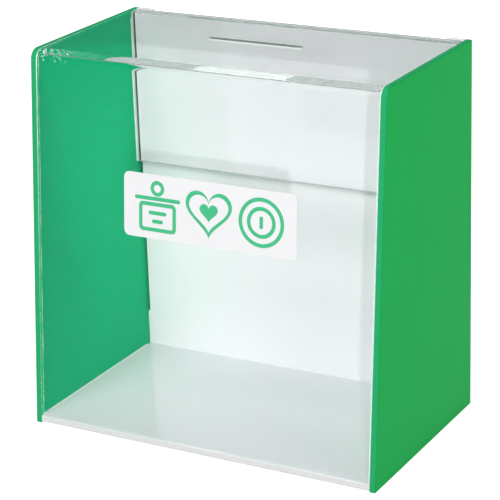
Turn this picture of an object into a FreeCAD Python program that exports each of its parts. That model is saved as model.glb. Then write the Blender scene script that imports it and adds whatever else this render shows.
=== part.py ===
"""Counter-top donation box in glued acrylic sheet, with a back door that lifts out.

Two green side panels carry everything else between them: a clear sheet bent into the front wall and the top,
a white base, a clear panel across the back, a low white sill that the white door stands on, flush with it,
and two strips that guide the door.

Frame: millimetres, +Z up, the front faces -Y, +X is to the right seen from the front.
The origin is the centre of the box's footprint, on the surface that it stands on.
"""
import FreeCAD
import Part

import math
import os

from FreeCAD import Vector

# Side panels
box_width = 250.0  # over the outer faces of the two side panels
box_height = 250.0  # from the surface that the panels stand on to their top edges
base_depth = 148.0  # along the bottom edge
top_depth = 125.0  # along the top edge, to the corner before it is rounded
side_sheet = 4.0
edge_ease = 0.4  # bevel round the outer face

# Clear cover
cover_sheet = 4.0
bend_inner_radius = 3.0
slot_length = 68.0
slot_width = 5.0
slot_set_back = 68.5  # from the front top edge to the middle of the slot

# Base
base_sheet = 4.0
base_lift = 1.0  # clear space under the base

# Back of the box, inside
rear_sheet = 4.0
inner_panel_height = 102.4
lower_strip_height = 25.0  # sill under the door

# Back door and its guides
door_sheet = 3.0
door_play = 0.3  # in front of the door and behind it
door_side_play = 1.5  # at each side of the door
door_edge_ease = 0.5  # bevel along the top edge
guide_sheet = 4.0
guide_width = 12.0

# Pull on the door
pull_length = 60.0
pull_height = 8.0
pull_depth = 11.0
pull_drop = 40.0  # from the door's top edge to the top of the pull
pull_edge_radius = 1.5

# Label on the front
label_length = 123.0
label_height = 41.5
label_film = 0.25
label_corner_radius = 4.0
label_offset = 6.5  # to the right of the middle
label_rise = 160.0  # from the foot of the front, along its slope, to the label's middle

# Places that follow from the sizes above
pull_stand_out = max(0.0, pull_depth - guide_sheet - door_play)
front_y = -(base_depth + pull_stand_out) / 2
back_y = front_y + base_depth
inside_x = box_width / 2 - side_sheet
base_top = base_lift + base_sheet
cover_underside = box_height - cover_sheet
sill_top = base_top + lower_strip_height
front_lean = math.atan2(base_depth - top_depth, box_height)
bend_outer_radius = bend_inner_radius + cover_sheet

guide_front_y = back_y - guide_sheet
door_back_y = guide_front_y - door_play
door_front_y = door_back_y - door_sheet
rear_panel_back_y = door_front_y - door_play
rear_panel_front_y = rear_panel_back_y - rear_sheet


def front_y_at(height):
    """Y of the front's outer face at a height."""
    return front_y + height * math.tan(front_lean)


def rounded_wire(corners, radii):
    """Closed flat outline through the corners, each rounded to its radius or left sharp at 0."""
    starts, ends, middles = [], [], []
    for index, corner in enumerate(corners):
        to_last = (corners[index - 1] - corner).normalize()
        to_next = (corners[(index + 1) % len(corners)] - corner).normalize()
        half_angle = to_last.getAngle(to_next) / 2
        reach = radii[index] / math.tan(half_angle)
        inward = (to_last + to_next).normalize()
        depth = radii[index] / math.sin(half_angle) - radii[index]
        starts.append(corner + to_last * reach)
        middles.append(corner + inward * depth)
        ends.append(corner + to_next * reach)
    edges = []
    for index, radius in enumerate(radii):
        if radius > 0:
            edges.append(Part.Arc(starts[index], middles[index], ends[index]).toShape())
        after = starts[(index + 1) % len(starts)]
        if not ends[index].isEqual(after, 1e-6):
            edges.append(Part.LineSegment(ends[index], after).toShape())
    return Part.Wire(edges)


def prism(corners, radii, sweep):
    """Solid swept from a rounded outline."""
    return Part.Face(rounded_wire(corners, radii)).extrude(sweep)


def block(low, high):
    """Rectangular solid between two opposite corners."""
    size = high - low
    return Part.makeBox(size.x, size.y, size.z, low)


def edges_on(shape, point, normal):
    """Edges of a solid that lie in the plane through a point."""
    return [
        edge
        for edge in shape.Edges
        if all(abs((vertex.Point - point).dot(normal)) < 1e-6 for vertex in edge.Vertexes)
    ]


def side_panel(outer_x, inner_x):
    """Upright panel between two X values, with its rounded front top corner and eased outer edges."""
    corners = [
        Vector(inner_x, front_y, 0),
        Vector(inner_x, back_y, 0),
        Vector(inner_x, back_y, box_height),
        Vector(inner_x, front_y_at(box_height), box_height),
    ]
    panel = prism(corners, [0, 0, 0, bend_outer_radius], Vector(outer_x - inner_x, 0, 0))
    rim = edges_on(panel, Vector(outer_x, 0, 0), Vector(1, 0, 0))
    return panel.makeChamfer(edge_ease, rim)


def clear_cover():
    """Sheet bent into the front wall and the top, with the money slot through the top."""
    wall = cover_sheet / math.cos(front_lean)
    corners = [
        Vector(-inside_x, front_y_at(base_top), base_top),
        Vector(-inside_x, front_y_at(box_height), box_height),
        Vector(-inside_x, rear_panel_back_y, box_height),
        Vector(-inside_x, rear_panel_back_y, cover_underside),
        Vector(-inside_x, front_y_at(cover_underside) + wall, cover_underside),
        Vector(-inside_x, front_y_at(base_top) + wall, base_top),
    ]
    radii = [0, bend_outer_radius, 0, 0, bend_inner_radius, 0]
    sheet = prism(corners, radii, Vector(2 * inside_x, 0, 0))
    return sheet.cut(money_slot())


def money_slot():
    """Round-ended cutter for the slot, as tall as the cover's top."""
    middle_y = front_y_at(box_height) + slot_set_back
    half_length, half_width = slot_length / 2, slot_width / 2
    corners = [
        Vector(-half_length, middle_y - half_width, cover_underside),
        Vector(half_length, middle_y - half_width, cover_underside),
        Vector(half_length, middle_y + half_width, cover_underside),
        Vector(-half_length, middle_y + half_width, cover_underside),
    ]
    return prism(corners, [half_width] * len(corners), Vector(0, 0, cover_sheet))


def base_panel():
    """Floor between the side panels, its front edge sloped like theirs."""
    corners = [
        Vector(-inside_x, front_y_at(base_lift), base_lift),
        Vector(-inside_x, back_y, base_lift),
        Vector(-inside_x, back_y, base_top),
        Vector(-inside_x, front_y_at(base_top), base_top),
    ]
    return prism(corners, [0] * len(corners), Vector(2 * inside_x, 0, 0))


def inner_rear_panel():
    """Clear panel across the back, in front of the door, that hangs from the cover's top."""
    return block(
        Vector(-inside_x, rear_panel_front_y, cover_underside - inner_panel_height),
        Vector(inside_x, rear_panel_back_y, cover_underside),
    )


def lower_rear_strip():
    """Sill that stands on the base under the door, flush with both its faces."""
    return block(
        Vector(-inside_x, door_front_y, base_top),
        Vector(inside_x, door_back_y, sill_top),
    )


def rear_guide(side):
    """Strip on a side panel behind the door, with side -1 on the left and +1 on the right."""
    outer, inner = side * inside_x, side * (inside_x - guide_width)
    return block(
        Vector(min(outer, inner), guide_front_y, base_top),
        Vector(max(outer, inner), back_y, box_height),
    )


def back_door():
    """Panel that stands on the sill and fills the back up to the cover's top face."""
    half_width = inside_x - door_side_play
    panel = block(
        Vector(-half_width, door_front_y, sill_top),
        Vector(half_width, door_back_y, box_height),
    )
    top_edges = [
        edge
        for edge in edges_on(panel, Vector(0, 0, box_height), Vector(0, 0, 1))
        if edge.Length > door_sheet
    ]
    return panel.makeChamfer(door_edge_ease, top_edges)


def door_pull():
    """Bar on the door's outer face, rounded everywhere but where it is glued."""
    top = box_height - pull_drop
    bar = block(
        Vector(-pull_length / 2, door_back_y, top - pull_height),
        Vector(pull_length / 2, door_back_y + pull_depth, top),
    )
    outer = edges_on(bar, Vector(0, door_back_y + pull_depth, 0), Vector(0, 1, 0))
    return bar.makeFillet(pull_edge_radius, outer)


def front_label():
    """Film with round corners on the outside of the cover's front."""
    half_length, half_height = label_length / 2, label_height / 2
    corners = [
        Vector(label_offset - half_length, 0, label_rise - half_height),
        Vector(label_offset + half_length, 0, label_rise - half_height),
        Vector(label_offset + half_length, 0, label_rise + half_height),
        Vector(label_offset - half_length, 0, label_rise + half_height),
    ]
    film = prism(corners, [label_corner_radius] * len(corners), Vector(0, -label_film, 0))
    film.rotate(Vector(0, 0, 0), Vector(1, 0, 0), -math.degrees(front_lean))
    film.translate(Vector(0, front_y, 0))
    return film


pieces = {
    "left_side_panel": side_panel(-box_width / 2, -inside_x),
    "right_side_panel": side_panel(box_width / 2, inside_x),
    "clear_cover": clear_cover(),
    "base_panel": base_panel(),
    "inner_rear_panel": inner_rear_panel(),
    "lower_rear_strip": lower_rear_strip(),
    "rear_guide_left": rear_guide(-1),
    "rear_guide_right": rear_guide(1),
    "back_door": back_door(),
    "door_pull": door_pull(),
    "front_label": front_label(),
}

os.makedirs("parts", exist_ok=True)
for name, shape in pieces.items():
    shape.exportStep(f"parts/{name}.step")
    print(f"{name}: {len(shape.Solids)} solid, {shape.Volume / 1000:.2f} cm3, valid {shape.isValid()}")
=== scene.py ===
"""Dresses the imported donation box: sheet edges, clear bend, glue, label print, light and camera.

Every length is in metres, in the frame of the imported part: +Z up, the front faces -Y, +X to the right.
"""
from __future__ import annotations

import logging
import math
import random
from abc import ABC, abstractmethod
from dataclasses import dataclass, field, replace
from enum import Enum
from typing import Callable, Sequence

import bmesh
import bpy
from mathutils import Matrix, Quaternion, Vector, noise

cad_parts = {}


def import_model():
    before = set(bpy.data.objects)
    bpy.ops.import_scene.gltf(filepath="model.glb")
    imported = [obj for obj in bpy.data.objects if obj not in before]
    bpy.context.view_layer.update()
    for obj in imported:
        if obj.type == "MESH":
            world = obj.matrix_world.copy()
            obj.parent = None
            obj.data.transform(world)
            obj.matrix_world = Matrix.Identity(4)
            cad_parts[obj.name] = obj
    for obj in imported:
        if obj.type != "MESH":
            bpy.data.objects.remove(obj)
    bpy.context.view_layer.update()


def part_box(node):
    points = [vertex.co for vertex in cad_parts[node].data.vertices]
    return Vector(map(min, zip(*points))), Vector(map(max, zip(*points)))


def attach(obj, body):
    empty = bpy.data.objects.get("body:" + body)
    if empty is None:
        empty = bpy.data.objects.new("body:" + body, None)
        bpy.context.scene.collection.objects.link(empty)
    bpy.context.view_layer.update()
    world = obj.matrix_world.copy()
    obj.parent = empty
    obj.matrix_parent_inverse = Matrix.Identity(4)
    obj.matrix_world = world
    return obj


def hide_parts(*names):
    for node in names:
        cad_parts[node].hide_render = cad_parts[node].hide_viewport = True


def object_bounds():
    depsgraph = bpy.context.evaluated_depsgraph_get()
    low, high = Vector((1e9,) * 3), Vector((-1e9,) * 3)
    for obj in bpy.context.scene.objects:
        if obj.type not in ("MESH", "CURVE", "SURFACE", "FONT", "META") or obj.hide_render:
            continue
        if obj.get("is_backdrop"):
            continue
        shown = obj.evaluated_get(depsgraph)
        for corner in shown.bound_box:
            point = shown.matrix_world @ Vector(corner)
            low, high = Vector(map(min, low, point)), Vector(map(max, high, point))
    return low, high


log = logging.getLogger("donation_box")

MM = 0.001
ACRYLIC_IOR = 1.49
SHARP_DEG = 30.0
KEPT_SHARP_DEG = 50.0
FLAT_FACE_WEIGHT = 100

Colour = tuple[float, float, float, float]
Triple = tuple[float, float, float]
Point = tuple[float, float]
Span = tuple[float, float]
Placer = Callable[[Point, float], Vector]
Socket = bpy.types.NodeSocket
Material = bpy.types.Material
Piece = bpy.types.Object
Shape = bmesh.types.BMesh
Loop = Sequence[bmesh.types.BMVert]

BLACK: Colour = (0.0, 0.0, 0.0, 1.0)
WHITE: Colour = (1.0, 1.0, 1.0, 1.0)


class Body(Enum):
    """The two rigid bodies of the box."""

    SHELL = "shell"
    DOOR = "door"


class Slot(Enum):
    """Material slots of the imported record."""

    GREEN = "green_acrylic"
    WHITE = "white_acrylic"
    CLEAR = "clear_acrylic"
    LABEL = "label_film"


class Side(Enum):
    """The two sides of the box, by the sign of X."""

    LEFT = -1.0
    RIGHT = 1.0

    @property
    def word(self) -> str:
        """Name of the side in piece names."""
        return self.name.lower()


class Axis(Enum):
    """The frame's axes, by their place in a vector."""

    X = 0
    Y = 1
    Z = 2


class EdgeLook(Enum):
    """Looks of clear sheet where it is cut, by the names of their finishes: the sawn edge, painted shade
    and painted light.
    """

    SAWN = "clear_acrylic_cut_edge"
    SHADED = "clear_acrylic_painted_shade"
    PAINTED_LIGHT = "clear_acrylic_painted_light"


class NodeGraph:
    """Adds and links the nodes of one node tree."""

    def __init__(self, tree: bpy.types.NodeTree) -> None:
        """Starts from an empty tree."""
        self.tree = tree
        tree.nodes.clear()

    def add(self, kind: str, settings: dict[str, object] | None = None,
            **inputs: object) -> bpy.types.Node:
        """Adds a node.

        Args:
            kind: Blender's name of the node's class.
            settings: Attributes of the node itself.
            inputs: Values or sockets by input name, with spaces written as underscores.

        Returns:
            The new node.
        """
        node = self.tree.nodes.new(kind)
        for name, value in (settings or {}).items():
            setattr(node, name, value)
        for name, value in inputs.items():
            self.feed(node.inputs[name.replace("_", " ")], value)
        return node

    def feed(self, socket: Socket, value: object) -> None:
        """Links an output to a socket, or sets the socket's value.

        Args:
            socket: Input of a node.
            value: Output of another node, or a plain value.
        """
        if isinstance(value, Socket):
            self.tree.links.new(value, socket)
        else:
            socket.default_value = value

    def coordinates(self, kind: str = "Object") -> Socket:
        """Gives the shaded point's place on its piece, or another of its coordinates."""
        return self.add("ShaderNodeTexCoord").outputs[kind]

    def math(self, operation: str, first: object, second: object = 0.0) -> Socket:
        """Adds a sum, difference or other operation on two numbers.

        Args:
            operation: Blender's name of the operation.
            first: Number or socket.
            second: Number or socket.

        Returns:
            The result's socket.
        """
        node = self.add("ShaderNodeMath", {"operation": operation})
        self.feed(node.inputs[0], first)
        self.feed(node.inputs[1], second)
        return node.outputs[0]

    def product(self, first: object, second: object) -> Socket:
        """Adds the product of two numbers."""
        return self.math("MULTIPLY", first, second)

    def larger(self, first: object, second: object) -> Socket:
        """Adds the larger of two numbers."""
        return self.math("MAXIMUM", first, second)

    def mix(self, share: object, first: object, second: object, data_type: str = "RGBA",
            socket_type: str = "RGBA") -> Socket:
        """Adds a blend of two colours, or of what the types say.

        Args:
            share: Part of the second, from 0 to 1.
            first: Value or socket.
            second: Value or socket.
            data_type: Blender's name of what is blended.
            socket_type: Blender's name of its sockets.

        Returns:
            The blend's socket.
        """
        node = self.add("ShaderNodeMix", {"data_type": data_type})
        ends = [socket for socket in node.inputs if socket.type == socket_type][-2:]
        for socket, value in zip((node.inputs[0], *ends), (share, first, second)):
            self.feed(socket, value)
        return next(socket for socket in node.outputs if socket.type == socket_type)

    def blend(self, share: object, first: object, second: object) -> Socket:
        """Adds a blend of two numbers."""
        return self.mix(share, first, second, "FLOAT", "VALUE")

    def ramp(self, value: object, span: Span, start: float = 0.0, end: float = 1.0) -> Socket:
        """Maps a number from a span to the range from start to end, clamped.

        Args:
            value: Number or socket.
            span: Values that give start and end.
            start: Result at the first value.
            end: Result at the second value.

        Returns:
            The result's socket.
        """
        node = self.add("ShaderNodeMapRange", Value=value, From_Min=span[0], From_Max=span[1],
                        To_Min=start, To_Max=end)
        return node.outputs["Result"]

    def noise(self, at: Socket, scale: float, detail: float = 2.0) -> Socket:
        """Adds a noise texture.

        Args:
            at: Socket of the coordinates.
            scale: Bumps per metre.
            detail: Octaves of finer noise.

        Returns:
            The noise's value, about 0 to 1.
        """
        return self.add("ShaderNodeTexNoise", Vector=at, Scale=scale, Detail=detail).outputs["Fac"]

    def stretched(self, at: Socket, scale: Triple) -> Socket:
        """Gives coordinates scaled by a different amount along each axis."""
        return self.add("ShaderNodeMapping", Vector=at, Scale=scale).outputs["Vector"]

    def bump(self, height: Socket, distance: float, strength: float) -> Socket:
        """Gives the surface's direction, tilted by a height."""
        node = self.add("ShaderNodeBump", Height=height, Distance=distance, Strength=strength)
        return node.outputs["Normal"]

    def principled(self, **inputs: object) -> Socket:
        """Adds the standard surface shader."""
        return self.add("ShaderNodeBsdfPrincipled", **inputs).outputs[0]

    def blend_shaders(self, share: Socket, first: Socket, second: Socket) -> Socket:
        """Mixes two shaders.

        Args:
            share: Share of the second, from 0 to 1.
            first: Shader at share 0.
            second: Shader at share 1.

        Returns:
            The mix's socket.
        """
        mixed = self.add("ShaderNodeMixShader")
        for socket, value in zip(mixed.inputs, (share, first, second)):
            self.feed(socket, value)
        return mixed.outputs[0]


@dataclass(frozen=True)
class Finish(ABC):
    """Procedural finish of a surface."""

    name: str

    def material(self) -> Material:
        """Builds the node material.

        Returns:
            The finished material.
        """
        material = bpy.data.materials.new(self.name)
        material.use_nodes = True
        graph = NodeGraph(material.node_tree)
        graph.add("ShaderNodeOutputMaterial", Surface=self.surface(graph))
        return material

    @abstractmethod
    def surface(self, graph: NodeGraph) -> Socket:
        """Adds the finish's nodes to a graph, and gives the shader's socket."""


@dataclass(frozen=True)
class SheetFinish(Finish):
    """Opaque cast acrylic sheet: glossy faces with faint wipe marks, and sawn and flamed edges. Its rounded
    arrises get painted shade, and its inner faces can get a painted reflection. The edge colour is the
    edge's own tone on the green and upright sheets, and painted shade on the white door and base.
    """

    face_axis: Axis
    colour: Colour
    deep_colour: Colour
    edge_colour_and_shade: Colour
    painted_reflection_colour: Colour | None = None
    painted_reflection_facing: Span = (-0.06, 0.06)
    edge_facing: Span = (0.35, 0.75)
    arris_shade_colour: Colour = (0.0, 0.02, 0.01, 1.0)
    arris_shade_share: float = 0.0
    arris_start: Span = (0.1, 0.45)
    arris_end: Span = (0.8, 0.98)
    cloud_scale: float = 9.0
    cloud_span: Span = (0.35, 0.65)

    specular: float = 0.5
    roughness: float = 0.07
    wiped_roughness: float = 0.16
    wipe_scale: float = 26.0
    wipe_stretch: Triple = (1.0, 1.0, 0.25)
    wipe_span: Span = (0.45, 0.75)
    edge_roughness: float = 0.28
    polished_share: float = 0.6
    saw_lines: float = 1400.0
    saw_stretch: Triple = (1.0, 0.03, 0.03)
    saw_span: Span = (0.3, 0.7)
    ripple_scale: float = 34.0
    ripple_height: float = 0.04 * MM
    ripple_strength: float = 0.5

    def surface(self, graph: NodeGraph) -> Socket:
        """Adds the sheet's nodes.

        Args:
            graph: Graph of the material.

        Returns:
            The shader's socket.
        """
        at = graph.coordinates()
        normal = graph.add("ShaderNodeSeparateXYZ", Vector=graph.coordinates("Normal"))
        facing = graph.math("ABSOLUTE", normal.outputs[self.face_axis.value])
        edge = graph.ramp(facing, self.edge_facing, 1.0, 0.0)

        clouds = graph.noise(at, self.cloud_scale, detail=3.0)
        face = graph.mix(graph.ramp(clouds, self.cloud_span), self.colour, self.deep_colour)
        # Painted reflection: the inner faces get a lighter, bluer green, standing for the white inside of
        # the box mirrored in their gloss.
        if self.painted_reflection_colour:
            across = graph.add("ShaderNodeSeparateXYZ", Vector=at).outputs[Axis.X.value]
            outward = graph.product(normal.outputs[Axis.X.value], across)
            face = graph.mix(graph.ramp(outward, self.painted_reflection_facing, 1.0, 0.0), face, self.painted_reflection_colour)
        # Edge colour: the sheet's own edge tone, and painted shade on the white door and base.
        colour = graph.mix(edge, face, self.edge_colour_and_shade)
        # Painted shade: the rounded arrises darken towards a near-black green.
        arris = graph.product(graph.ramp(facing, self.arris_start, 0.0, self.arris_shade_share),
                              graph.ramp(facing, self.arris_end, 1.0, 0.0))
        colour = graph.mix(arris, colour, self.arris_shade_colour)

        wipes = graph.noise(graph.stretched(at, self.wipe_stretch), self.wipe_scale, detail=5.0)
        face_roughness = graph.ramp(wipes, self.wipe_span, self.roughness, self.wiped_roughness)
        saw = graph.noise(graph.stretched(at, self.saw_stretch), self.saw_lines, detail=1.0)
        polished = self.polished_share * self.edge_roughness
        edge_roughness = graph.ramp(saw, self.saw_span, polished, self.edge_roughness)
        roughness = graph.math("ADD", graph.product(graph.math("SUBTRACT", 1.0, edge), face_roughness),
                               graph.product(edge, edge_roughness))

        ripple = graph.noise(at, self.ripple_scale, detail=1.0)
        return graph.principled(Base_Color=colour, Roughness=roughness, IOR=ACRYLIC_IOR,
                                Specular_IOR_Level=self.specular,
                                Normal=graph.bump(ripple, self.ripple_height, self.ripple_strength))


@dataclass(frozen=True)
class ClearFinish(Finish):
    """Clear acrylic sheet that bends light as the real one does and lets lamp light through.

    The photograph shows next to no glare on the sheets, as a polarising filter leaves them, so most of
    the reflection is left out where light can pass. All of it is kept where light is turned back inside.
    """

    name: str = "clear_acrylic_sheet"
    tint: Colour = (0.985, 0.995, 0.993, 1.0)
    passed_light: Colour = (0.998, 1.0, 1.0, 1.0)
    smear_roughness: float = 0.012
    smear_scale: float = 18.0
    smear_stretch: Triple = (1.0, 1.0, 0.3)
    smear_span: Span = (0.55, 0.8)
    kept_glare: float = 0.12
    kept_grazing: float = 0.3
    grazing_span: Span = (0.05, 0.18)
    turned_span: Span = (0.5, 0.9)
    both_faces: float = 1.25
    lost_span: Span = (0.15, 0.4)

    def surface(self, graph: NodeGraph) -> Socket:
        """Adds the clear sheet's nodes.

        Args:
            graph: Graph of the material.

        Returns:
            The shader's socket.
        """
        at = graph.stretched(graph.coordinates(), self.smear_stretch)
        smears = graph.noise(at, self.smear_scale, detail=4.0)
        roughness = graph.ramp(smears, self.smear_span, 0.0, self.smear_roughness)
        glossy = graph.principled(Base_Color=self.tint, Roughness=roughness, IOR=ACRYLIC_IOR,
                                  Transmission_Weight=1.0)
        face_tint = tuple(math.sqrt(channel) for channel in self.tint)
        plain = graph.add("ShaderNodeBsdfRefraction", Color=face_tint, Roughness=roughness, IOR=ACRYLIC_IOR)
        turned_back = graph.add("ShaderNodeFresnel", IOR=ACRYLIC_IOR).outputs[0]
        kept = graph.larger(graph.ramp(turned_back, self.grazing_span, self.kept_glare, self.kept_grazing),
                            graph.ramp(turned_back, self.turned_span))
        clear = graph.blend_shaders(kept, plain.outputs[0], glossy)

        backfacing = graph.add("ShaderNodeNewGeometry").outputs["Backfacing"]
        entering = graph.math("SUBTRACT", 1.0, backfacing)
        lost = graph.larger(graph.product(turned_back, self.both_faces),
                            graph.ramp(turned_back, self.lost_span))
        passed = graph.mix(graph.product(lost, entering), self.passed_light, BLACK)
        through = graph.add("ShaderNodeBsdfTransparent", Color=passed)
        path = graph.add("ShaderNodeLightPath")
        lamp_light = graph.larger(path.outputs["Is Shadow Ray"], path.outputs["Is Diffuse Ray"])
        return graph.blend_shaders(lamp_light, clear, through.outputs[0])


@dataclass(frozen=True)
class FilmFinish(Finish):
    """Satin film or ink of a label, with a fine grain."""

    colour: Colour
    roughness: float = 0.42
    roughness_play: float = 0.06
    grain_scale: float = 2600.0
    grain_span: Span = (0.3, 0.7)
    grain_height: float = 0.01 * MM
    grain_strength: float = 0.4
    mottle: float = 0.03
    mottle_scale: float = 60.0

    def surface(self, graph: NodeGraph) -> Socket:
        """Adds the film's nodes.

        Args:
            graph: Graph of the material.

        Returns:
            The shader's socket.
        """
        at = graph.coordinates()
        grain = graph.noise(at, self.grain_scale)
        darker = tuple(channel * (1.0 - self.mottle) for channel in self.colour[:3]) + (1.0,)
        colour = graph.mix(graph.noise(at, self.mottle_scale, detail=3.0), self.colour, darker)
        roughness = graph.ramp(grain, self.grain_span, self.roughness - self.roughness_play,
                               self.roughness + self.roughness_play)
        return graph.principled(Base_Color=colour, Roughness=roughness,
                                Normal=graph.bump(grain, self.grain_height, self.grain_strength))


@dataclass(frozen=True)
class CutEdgeFinish(Finish):
    """Edge of clear sheet as the saw or router leaves it: frosted, with fine upright tool marks."""

    colour: Colour
    light_colour: Colour
    roughness: float = 0.45
    tool_marks: float = 2600.0
    mark_stretch: Triple = (1.0, 1.0, 0.08)
    mark_span: Span = (0.35, 0.7)
    mark_depth: float = 0.02 * MM
    mark_strength: float = 0.5

    def surface(self, graph: NodeGraph) -> Socket:
        """Adds the cut edge's nodes.

        Args:
            graph: Graph of the material.

        Returns:
            The shader's socket.
        """
        marks = graph.noise(graph.stretched(graph.coordinates(), self.mark_stretch), self.tool_marks)
        colour = graph.mix(graph.ramp(marks, self.mark_span), self.colour, self.light_colour)
        return graph.principled(Base_Color=colour, Roughness=self.roughness,
                                Normal=graph.bump(marks, self.mark_depth, self.mark_strength))


@dataclass(frozen=True)
class GlueFinish(Finish):
    """Set solvent glue: pale, a little milky, with a wet shine."""

    name: str = "set_glue"
    colour: Colour = (0.78, 0.9, 0.85, 1.0)
    milky_colour: Colour = (0.9, 0.93, 0.92, 1.0)
    roughness: float = 0.18
    dull_roughness: float = 0.36
    cloud_scale: float = 420.0
    cloud_span: Span = (0.35, 0.65)
    dull_span: Span = (0.3, 0.7)

    def surface(self, graph: NodeGraph) -> Socket:
        """Adds the glue's nodes.

        Args:
            graph: Graph of the material.

        Returns:
            The shader's socket.
        """
        clouds = graph.noise(graph.coordinates(), self.cloud_scale, detail=3.0)
        colour = graph.mix(graph.ramp(clouds, self.cloud_span), self.colour, self.milky_colour)
        roughness = graph.ramp(clouds, self.dull_span, self.roughness, self.dull_roughness)
        return graph.principled(Base_Color=colour, Roughness=roughness)


@dataclass(frozen=True)
class FloorFinish(Finish):
    """Pale floor that shows white in the camera and in gloss and glass, and keeps the shadow."""

    name: str = "studio_floor"
    lit_colour: Colour = (0.6, 0.6, 0.6, 1.0)
    shown_colour: Colour = (0.62, 0.62, 0.62, 1.0)
    shown_glow: float = 0.7

    def surface(self, graph: NodeGraph) -> Socket:
        """Adds the floor's nodes.

        Args:
            graph: Graph of the material.

        Returns:
            The shader's socket.
        """
        path = graph.add("ShaderNodeLightPath")
        seen = graph.larger(path.outputs["Is Camera Ray"], path.outputs["Is Glossy Ray"])
        seen = graph.larger(seen, path.outputs["Is Transmission Ray"])
        shown = graph.mix(seen, self.lit_colour, self.shown_colour)
        diffuse = graph.add("ShaderNodeBsdfDiffuse", Color=shown)
        glow = graph.add("ShaderNodeEmission", Strength=graph.product(seen, self.shown_glow))
        shader = graph.add("ShaderNodeAddShader")
        graph.feed(shader.inputs[0], diffuse.outputs[0])
        graph.feed(shader.inputs[1], glow.outputs[0])
        return shader.outputs[0]


# Green sheet: its inner colour is painted reflection, and its arris share is painted shade.
GREEN_SHEET = SheetFinish(
    "green_acrylic_sheet", Axis.X, colour=(0.002, 0.445, 0.083, 1.0), deep_colour=(0.002, 0.435, 0.08, 1.0),
    edge_colour_and_shade=(0.02, 0.335, 0.125, 1.0), painted_reflection_colour=(0.004, 0.535, 0.236, 1.0), arris_shade_share=0.35,
    specular=0.015, roughness=0.035, wiped_roughness=0.09)
WHITE_UPRIGHT = SheetFinish(
    "white_acrylic_upright", Axis.Y, colour=(0.93, 0.898, 0.94, 1.0), deep_colour=(0.92, 0.888, 0.93, 1.0),
    edge_colour_and_shade=(0.9, 0.88, 0.91, 1.0), specular=0.4)
# Door: its grey edges are painted shade.
WHITE_DOOR = replace(WHITE_UPRIGHT, name="white_acrylic_door_edge_shade", edge_colour_and_shade=(0.44, 0.48, 0.475, 1.0))
# Base: its grey edges are painted shade.
WHITE_FLAT = SheetFinish(
    "white_acrylic_flat", Axis.Z, colour=(0.875, 0.855, 0.9, 1.0), deep_colour=(0.865, 0.845, 0.89, 1.0),
    edge_colour_and_shade=(0.61, 0.615, 0.615, 1.0), specular=0.45, roughness=0.035, wiped_roughness=0.08)
# The second cut-edge finish is painted shade on the slot's back wall. The third is painted light on the
# other slot walls and the rear panel's ends.
CUT_EDGES = (
    CutEdgeFinish(EdgeLook.SAWN.value, (0.38, 0.42, 0.41, 1.0), (0.54, 0.58, 0.57, 1.0)),
    CutEdgeFinish(EdgeLook.SHADED.value, (0.115, 0.133, 0.13, 1.0), (0.17, 0.19, 0.185, 1.0)),
    CutEdgeFinish(EdgeLook.PAINTED_LIGHT.value, (0.7, 0.78, 0.75, 1.0), (0.84, 0.88, 0.87, 1.0)),
)
LABEL_FILM = FilmFinish("label_film_white", (0.715, 0.715, 0.73, 1.0))
LABEL_INK = FilmFinish("label_ink_green", (0.035, 0.42, 0.19, 1.0))


def arc_outline(corners: Sequence[Point], radii: Sequence[float], steps: int) -> list[Point]:
    """Rounds the corners of a closed outline.

    Args:
        corners: Sharp corners in order.
        radii: Radius at each corner, 0 where it stays sharp.
        steps: Straight pieces in each arc.

    Returns:
        Points of the rounded outline.
    """
    outline: list[Point] = []
    for index, (corner, radius) in enumerate(zip(corners, radii)):
        here = Vector(corner)
        if radius == 0:
            outline.append((here.x, here.y))
            continue
        to_last = (Vector(corners[index - 1]) - here).normalized()
        to_next = (Vector(corners[(index + 1) % len(corners)]) - here).normalized()
        half_angle = to_last.angle(to_next) / 2
        centre = here + (to_last + to_next).normalized() * radius / math.sin(half_angle)
        start = here + to_last * radius / math.tan(half_angle) - centre
        end = here + to_next * radius / math.tan(half_angle) - centre
        turn = start.angle_signed(end)
        for step in range(steps + 1):
            angle = -turn * step / steps
            point = Vector((start.x * math.cos(angle) - start.y * math.sin(angle),
                            start.x * math.sin(angle) + start.y * math.cos(angle))) + centre
            outline.append((point.x, point.y))
    return outline


def rounded_box(width: float, height: float, radius: float, centre: Point, steps: int = 8) -> list[Point]:
    """Outlines a rectangle with round corners.

    Args:
        width: Its full width.
        height: Its full height.
        radius: Radius of the corners.
        centre: Its middle.
        steps: Straight pieces in each corner.

    Returns:
        Points in order.
    """
    left, right = centre[0] - width / 2, centre[0] + width / 2
    low, high = centre[1] - height / 2, centre[1] + height / 2
    corners = [(left, low), (right, low), (right, high), (left, high)]
    return arc_outline(corners, (radius,) * len(corners), steps)


def circle(radius: float, centre: Point, steps: int = 72) -> list[Point]:
    """Gives the points of a circle, in order."""
    turns = [2 * math.pi * step / steps for step in range(steps)]
    return [(centre[0] + radius * math.cos(turn), centre[1] + radius * math.sin(turn)) for turn in turns]


def heart(width: float, height: float, tip: Point, steps: int = 96) -> list[Point]:
    """Outlines a heart that stands on its tip.

    Args:
        width: Its full width.
        height: Its full height.
        tip: Its lowest point.
        steps: Points in the outline.

    Returns:
        Points in order.
    """
    waves, lift, wave_height = (13, -5, -2, -1), 17, 28.95
    outline = []
    for step in range(steps):
        turn = 2 * math.pi * step / steps
        x = math.sin(turn) ** 3 / 2
        y = sum(size * math.cos((index + 1) * turn) for index, size in enumerate(waves))
        outline.append((tip[0] + x * width, tip[1] + (y + lift) / wave_height * height))
    return outline


def along_x(point: Point, along: float) -> Vector:
    """Places a point of an outline in the YZ plane, swept along X."""
    return Vector((along, point[0], point[1]))


def along_y(point: Point, along: float) -> Vector:
    """Places a point of an outline in the XZ plane, swept along Y."""
    return Vector((point[0], along, point[1]))


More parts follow.
